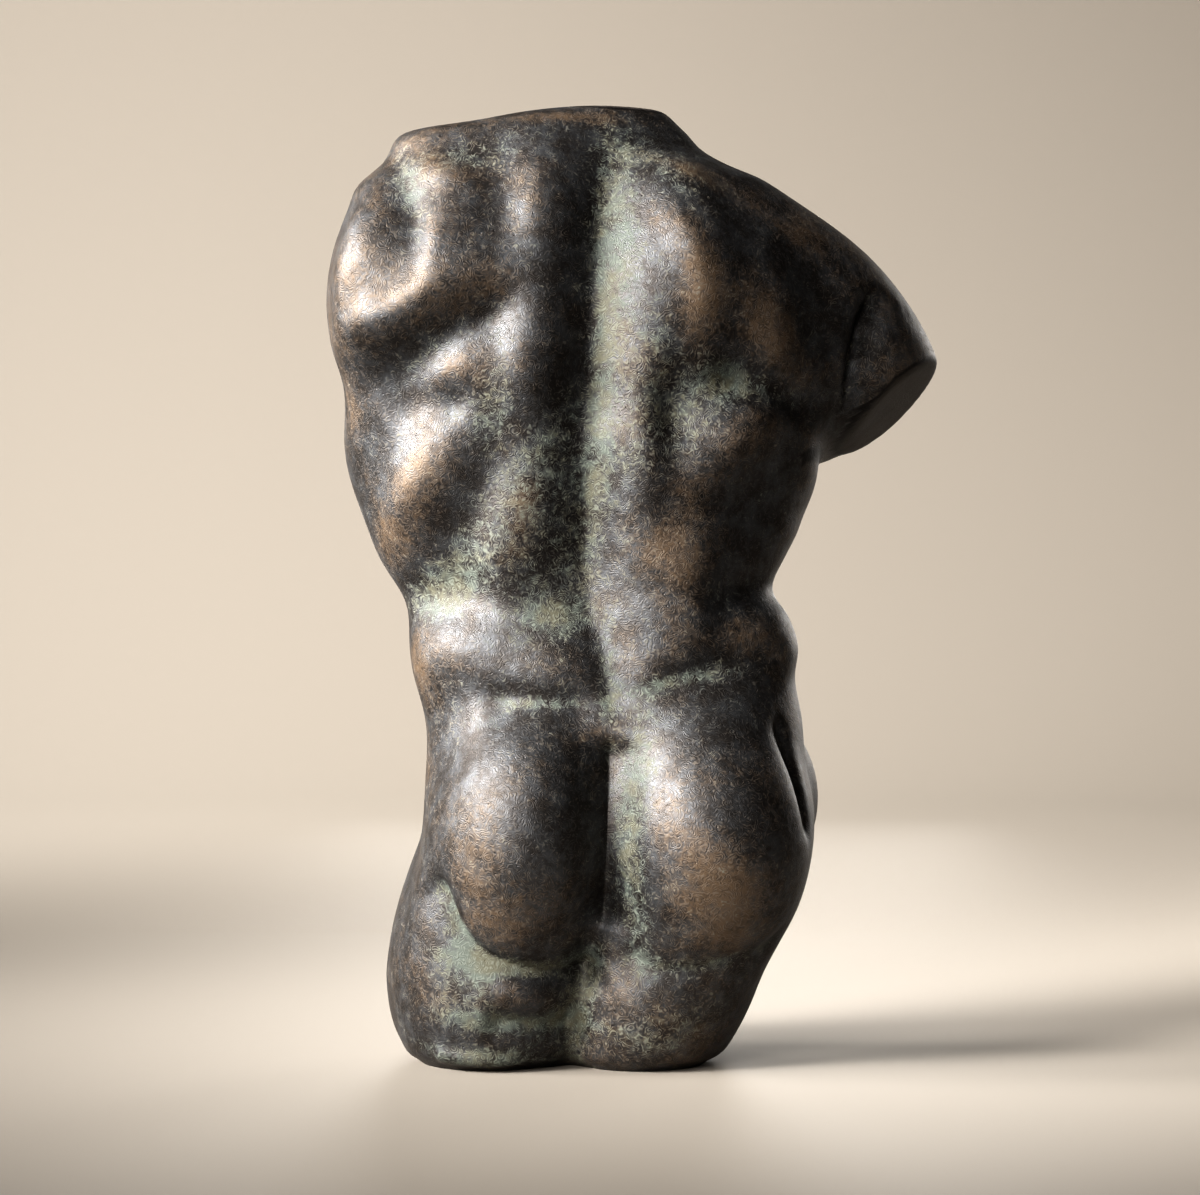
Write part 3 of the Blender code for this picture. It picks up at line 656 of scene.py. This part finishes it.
# The patina's tones, from the wax to the broken faces, and a painted shade for the breaks' edges.
NEAR_BLACK = (0.043, 0.039, 0.037, 1)
SLATE = (0.082, 0.085, 0.091, 1)
BROWN = (0.120, 0.082, 0.051, 1)
WAX_LINE = (0.15, 0.14, 0.13, 1)
GREY_GREEN = (0.078, 0.092, 0.079, 1)
OLIVE = (0.088, 0.086, 0.060, 1)
PALE_GREEN = (0.20, 0.22, 0.19, 1)
BROKEN = (0.034, 0.027, 0.022, 1)
# Painted shade along the edges of the breaks, not a tone of the clay.
PAINTED_BREAK_EDGE_SHADE = (0.010, 0.008, 0.007, 1)

# Stains, each a soft spot on one side: where verdigris and brown gather most.
PATCH_FLATNESS = 1.5
GREEN_PATCHES = [
    Patch("back", 31, 520, 84, 17, 4, 0.7),
    Patch("back", 22, 400, 80, 10, 3, 0.5),
    Patch("back", 50, 440, 60, 16, 10, 0.35),
    Patch("back", -6, 330, 90, 34, 10, 0.4),
    Patch("back", 0, 284, 30, 14, 84, 0.4),
    Patch("back", -40, 350, 80, 16, 34, 0.4),
    Patch("back", -44, 414, 34, 15, 6, 0.5),
    Patch("back", -74, 302, 46, 18, 66, 0.5),
    Patch("back", -94, 552, 40, 12, -20, 0.35),
    Patch("back", -14, 232, 34, 4, 88, 0.5),
    Patch("back", 27, 240, 44, 7, 0, 0.5),
    Patch("back", 76, 246, 52, 6, 78, 0.5),
    Patch("back", 96, 432, 44, 14, -70, 0.5),
    Patch("back", 70, 404, 56, 22, 50, 0.42),
    Patch("back", 39, 150, 90, 15, 0, 0.75),
    Patch("back", -64, 84, 44, 8, -24, 0.75),
    Patch("back", -30, 66, 54, 7, 92, 0.8),
    Patch("back", -64, 56, 34, 20, -30, 0.45),
    Patch("back", -28, 31, 60, 8, 90, 0.75),
    Patch("back", -56, 8, 44, 10, 90, 0.9),
    Patch("back", 0, 8, 50, 8, 90, 0.6),
    Patch("back", 12, 44, 46, 12, 16, 0.7),
    Patch("back", 60, 24, 44, 18, 70, 0.45),
    Patch("back", 84, 68, 60, 7, 84, 0.4),
    Patch("back", 62, 560, 46, 18, -34, 0.4),
    Patch("back", -66, 566, 50, 16, 66, 0.35)]
BROWN_PATCHES = [
    Patch("back", -56, 482, 40, 14, 60, 0.4),
    Patch("back", -138, 440, 60, 12, 0, 0.4),
    Patch("back", 80, 486, 50, 14, 0, 0.5),
    Patch("back", 120, 462, 50, 28, -40, 0.6),
    Patch("back", -84, 372, 26, 20, 20, 0.4),
    Patch("back", -24, 350, 40, 12, 10, 0.3),
    Patch("back", 70, 330, 70, 22, 0, 0.5),
    Patch("back", 6, 594, 50, 7, 90, 0.6),
    Patch("back", 92, 552, 74, 14, -56, 0.6),
    Patch("back", -84, 262, 30, 14, 0, 0.4),
    Patch("back", -44, 112, 40, 30, 0, 0.42),
    Patch("back", 84, 106, 46, 36, 0, 0.45),
    Patch("back", 100, 270, 48, 13, 84, 0.22)]


def patinated_clay():
    """Near-black wax over fired clay: brown where rubbed, verdigris in the hollows, fine strokes."""
    paint = Paint("patinated_terracotta")
    fine = paint.attribute("fine_hollow")
    broad = paint.attribute("broad_hollow")
    green = paint.attribute("green")
    brown_zone = paint.attribute("brown")
    cut = paint.attribute("cut")

    # Wax brushed on in short curls: contour lines of a noise field, broken up by another.
    curls = paint.math("SINE", paint.noise(CURL_SIZE, detail=1.0) * CURL_TURNS)
    breaks = paint.rise(paint.noise(STROKE_LENGTH, detail=1.0), 0.30, 0.58)
    strokes = curls * breaks

    grain = paint.noise(GRAIN_SIZE, roughness=0.6)
    mottle = paint.noise(MOTTLE_SIZE, detail=3.0, roughness=0.6)
    clouds = paint.noise(CLOUD_SIZE, detail=5.0, roughness=0.7)
    drifts = paint.noise(DRIFT_SIZE)
    dents = paint.noise(DENT_SIZE, detail=1.0)

    verdigris = paint.rise(green + 0.12 * fine + 0.10 * broad + 1.2 * (clouds - 0.5)
                           + 1.7 * (mottle - 0.5) + 0.22 * strokes - cut, 0.15, 1.0)
    brown = paint.rise(brown_zone + 1.6 * (drifts - 0.5) + 1.2 * (mottle - 0.5) - 0.3 * broad
                       + 0.2 * strokes, 0.0, 0.95)
    black = paint.mix(paint.rise(clouds, 0.35, 0.7), NEAR_BLACK, SLATE)
    wax = paint.mix(0.8 * brown, black, BROWN)
    wax = paint.mix(0.30 * paint.rise(strokes, 0.2, 1.0), wax, WAX_LINE)
    green_tone = paint.mix(paint.rise(paint.noise(OLIVE_SIZE), 0.4, 0.62), GREY_GREEN, OLIVE)
    green_tone = paint.mix(0.38 * paint.rise(strokes, 0.1, 1.0), green_tone, PALE_GREEN)
    colour = paint.mix(verdigris * 0.9, wax, green_tone)
    colour = paint.mix(cut * 0.9, colour, BROKEN)
    # Painted shade: a near-black line along the edge of each broken face, standing in for the shade at
    # that edge.
    colour = paint.mix(4 * cut * (1 - cut), colour, PAINTED_BREAK_EDGE_SHADE)
    paint.feed(paint.shader.inputs["Base Color"], colour)

    roughness = 0.56 + 0.16 * verdigris + 0.2 * cut + 0.10 * (mottle - 0.5) + 0.05 * strokes
    paint.feed(paint.shader.inputs["Roughness"], roughness)
    metallic = (0.85 - 0.8 * verdigris - 0.5 * brown) * (1 - 0.9 * cut)
    paint.feed(paint.shader.inputs["Metallic"], metallic)
    pits = 1 - paint.rise(paint.cells(PIT_SPACING), 0.06, 0.16)
    height = 0.5 * strokes + 0.4 * grain + 1.2 * mottle + 3.0 * dents - 1.6 * pits
    inputs = {"Strength": 1.0, "Distance": BRUSH_RELIEF * MM, "Height": height}
    paint.feed(paint.shader.inputs["Normal"], paint.node("ShaderNodeBump", {}, inputs).outputs[0])
    return paint.material


def make_torso():
    """The skin, its attributes and its patina, standing in for the plain solid."""
    p = skin_grid(ROWS, COLUMNS)
    facing = grid_facing(p)
    marks = {"fine_hollow": hollowness(p, facing, times=4, depth=0.6),
             "broad_hollow": hollowness(p, facing, times=60, depth=4.0),
             "cut": cut_mark(p, facing),
             "green": patch_sum(p, GREEN_PATCHES),
             "brown": patch_sum(p, BROWN_PATCHES)}
    torso = make_skin("torso_skin", p, marks)
    torso.data.materials.append(patinated_clay())
    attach(torso, "root")
    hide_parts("torso")


# The studio, in metres, watts and degrees.
CAMERA_PLACE = (0.0222, -2.75, 0.3717)
CAMERA_TARGET = (0.0222, 0.0, 0.294)
LENS = 130.1
LIGHTS = {
    "key": Light((-1.45, -0.95, 1.35), (0.0, 0.0, 0.54), 1.2, 15, 32),
    "fill": Light((-0.9, -2.2, 1.1), (0.05, 0.0, 0.36), 1.2, 3.4, 30),
    "front_fill": Light((0.1, 2.2, 0.42), (0.0, 0.0, 0.33), 0.7, 1.4, 30),
    "side": Light((-1.95, -0.1, 1.0), (-0.03, 0.0, 0.42), 0.8, 5, 34),
    "right_fill": Light((1.4, 1.9, 0.75), (0.05, 0.0, 0.36), 0.9, 0.8, 30),
    "backdrop_wash": Light((-0.5, 1.3, 2.2), (-0.3, 2.9, 0.0), 1.0, 65, 135)}
LIGHT_TONE = (1.0, 0.97, 0.93)
SURROUNDING_TONE = (1.0, 0.93, 0.85, 1)
SURROUNDING_STRENGTH = 0.02
FLOOR_TONE = (0.29, 0.264, 0.233, 1)
FLOOR_ROUGHNESS = 0.8
FLOOR_REACH = 2.2
WALL_REACH = 3.4
WALL_TALL = 3.0
WALL_SIDES = 96
FILLET_STEPS = 24


def make_floor():
    """A round level floor that curves up all round into a plain wall: an arc turned about Z."""
    turn = np.linspace(0, np.pi / 2, FILLET_STEPS)
    reach = np.concatenate([FLOOR_REACH + (WALL_REACH - FLOOR_REACH) * np.sin(turn), [WALL_REACH]])
    high = np.concatenate([(WALL_REACH - FLOOR_REACH) * (1 - np.cos(turn)), [WALL_TALL]])
    angle = np.arange(WALL_SIDES) / WALL_SIDES * 2 * np.pi
    across, deep = reach[:, None] * np.cos(angle), reach[:, None] * np.sin(angle)
    points = np.stack([across, deep, high[:, None] + 0 * angle], -1).reshape(-1, 3)
    ring = np.arange(WALL_SIDES)
    row = np.arange(len(reach) - 1)[:, None] * WALL_SIDES
    after = (ring + 1) % WALL_SIDES
    quads = np.stack([row + ring, row + WALL_SIDES + ring, row + WALL_SIDES + after, row + after], -1)
    faces = [ring.tolist()] + quads.reshape(-1, 4).tolist()
    mesh = bpy.data.meshes.new("floor")
    mesh.from_pydata(points.tolist(), [], faces)
    mesh.shade_smooth()
    floor = bpy.data.objects.new("floor", mesh)
    bpy.context.scene.collection.objects.link(floor)
    paint = Paint("pale_floor")
    paint.feed(paint.shader.inputs["Base Color"], FLOOR_TONE)
    paint.feed(paint.shader.inputs["Roughness"], FLOOR_ROUGHNESS)
    floor.data.materials.append(paint.material)


def look_at(piece, place, target):
    """Put a light or camera at a place, facing a target."""
    piece.location = place
    piece.rotation_euler = (Vector(target) - Vector(place)).to_track_quat("-Z", "Y").to_euler()
    bpy.context.scene.collection.objects.link(piece)


def make_light(name, light):
    """A square soft light, with its beam narrowed to its spread."""
    lamp = bpy.data.objects.new(name, bpy.data.lights.new(name, "AREA"))
    lamp.data.size = light.size
    lamp.data.energy = light.watts
    lamp.data.color = LIGHT_TONE
    lamp.data.spread = np.radians(light.spread)
    look_at(lamp, light.place, light.target)


def make_camera():
    """The camera looks almost level at the middle of the back."""
    camera = bpy.data.objects.new("camera", bpy.data.cameras.new("camera"))
    camera.data.lens = LENS
    look_at(camera, CAMERA_PLACE, CAMERA_TARGET)
    bpy.context.scene.camera = camera


def make_surrounding():
    """A very dim, warm light from everywhere."""
    world = bpy.data.worlds.new("surrounding")
    world.use_nodes = True
    background = world.node_tree.nodes["Background"]
    background.inputs["Color"].default_value = SURROUNDING_TONE
    background.inputs["Strength"].default_value = SURROUNDING_STRENGTH
    bpy.context.scene.world = world


def make_studio():
    """A soft key and a side light from the left, weak fills all round, and a washed backdrop."""
    make_floor()
    for name, light in LIGHTS.items():
        make_light(name, light)
    make_surrounding()
    make_camera()
    bpy.context.scene.view_settings.view_transform = "Standard"
    bpy.context.scene.view_settings.look = "High Contrast"


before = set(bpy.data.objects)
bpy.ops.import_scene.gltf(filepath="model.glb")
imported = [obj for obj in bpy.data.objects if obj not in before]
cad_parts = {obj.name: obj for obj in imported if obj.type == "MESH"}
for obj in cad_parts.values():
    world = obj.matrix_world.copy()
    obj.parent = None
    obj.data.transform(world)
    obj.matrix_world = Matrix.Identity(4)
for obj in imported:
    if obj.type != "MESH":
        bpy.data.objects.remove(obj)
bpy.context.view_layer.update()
make_torso()
make_studio()
